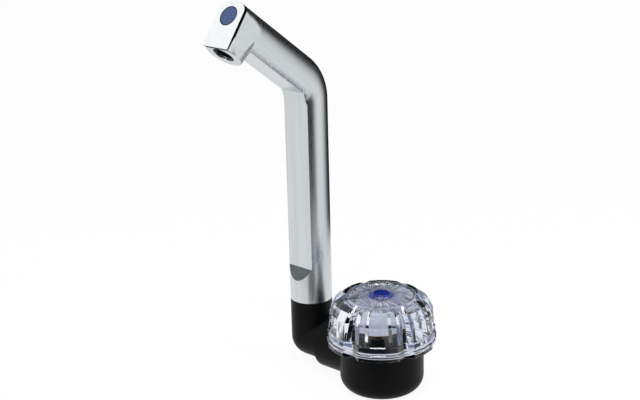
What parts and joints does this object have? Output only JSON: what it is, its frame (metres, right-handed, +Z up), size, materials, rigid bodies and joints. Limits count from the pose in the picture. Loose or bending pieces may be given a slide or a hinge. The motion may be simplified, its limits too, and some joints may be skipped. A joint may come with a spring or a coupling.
{
  "type": "water tap",
  "caption": "Fold-down deck tap with a bent spout that has one flat side, a black swivel elbow and base, and a clear lobed valve knob.",
  "frame": {"origin": "on the deck, at the centre of the base's underside, on the knob's axis", "axes": "+Z up from the deck, the spout pours towards -Y, and the spout's foot is towards -X of the knob"},
  "size_m": [0.0877, 0.0892, 0.2694],
  "materials": {
    "black_moulding": "satin moulded black",
    "seal_rubber": "smooth",
    "plain_brass": "turned",
    "plated_steel": "zinc plated",
    "clear_plastic": "polished clear",
    "frosted_plastic": "frosted white",
    "blue_plastic": "glossy royal blue",
    "satin_metal": "satin brushed, clear anodised",
    "bright_plate": "polished",
    "navy_plastic": "matt navy",
    "black_insert": "matt black"
  },
  "bodies": {
    "base": {"base_housing": "black_moulding", "base_gasket": "seal_rubber", "threaded_shank": "plain_brass", "clamping_washer": "plated_steel", "lock_nut": "plain_brass", "inlet_stem": "plain_brass", "stem_o_ring": "seal_rubber", "seat_insert": "plain_brass", "gland_body": "plain_brass", "gland_o_ring": "seal_rubber", "fold_grub_screw": "plated_steel"},
    "knob": {"crystal_knob": "clear_plastic", "knob_insert": "frosted_plastic", "index_disc": "clear_plastic", "index_dot": "blue_plastic", "knob_screw": "plated_steel", "valve_spindle": "plain_brass", "spindle_o_rings": "seal_rubber", "spindle_clip": "plated_steel"},
    "jumper": {"valve_jumper": "plain_brass", "jumper_washer": "seal_rubber"},
    "elbow": {"fold_elbow": "black_moulding", "elbow_o_rings": "seal_rubber", "swivel_grub_screw": "plated_steel"},
    "spout": {"spout_body": "satin_metal", "spout_spigot": "plain_brass", "spigot_o_rings": "seal_rubber", "face_plate": "bright_plate", "spout_marker": "navy_plastic", "outlet_insert": "black_insert"}
  },
  "joints": [
    {"name": "knob_turn", "type": "hinge", "parent": "base", "child": "knob", "pos_m": [0, 0, 0.04], "axis": [0, 0, 1], "range_deg": [0, 450]},
    {"name": "jumper_lift", "type": "slide", "parent": "base", "child": "jumper", "axis": [0, 0, 1], "range_m": [0, 0.003]},
    {"name": "spout_fold", "type": "hinge", "parent": "base", "child": "elbow", "pos_m": [-0.036, 0, 0.016], "axis": [1, 0, 0], "range_deg": [0, 90]},
    {"name": "spout_swivel", "type": "hinge", "parent": "elbow", "child": "spout", "pos_m": [-0.0485, 0, 0.03], "axis": [0, 0, 1], "range_deg": [-180, 180]}
  ],
  "couplings": [
    {"joint": "jumper_lift", "follows": "knob_turn", "m_per_rad": 0.00038197}
  ]
}
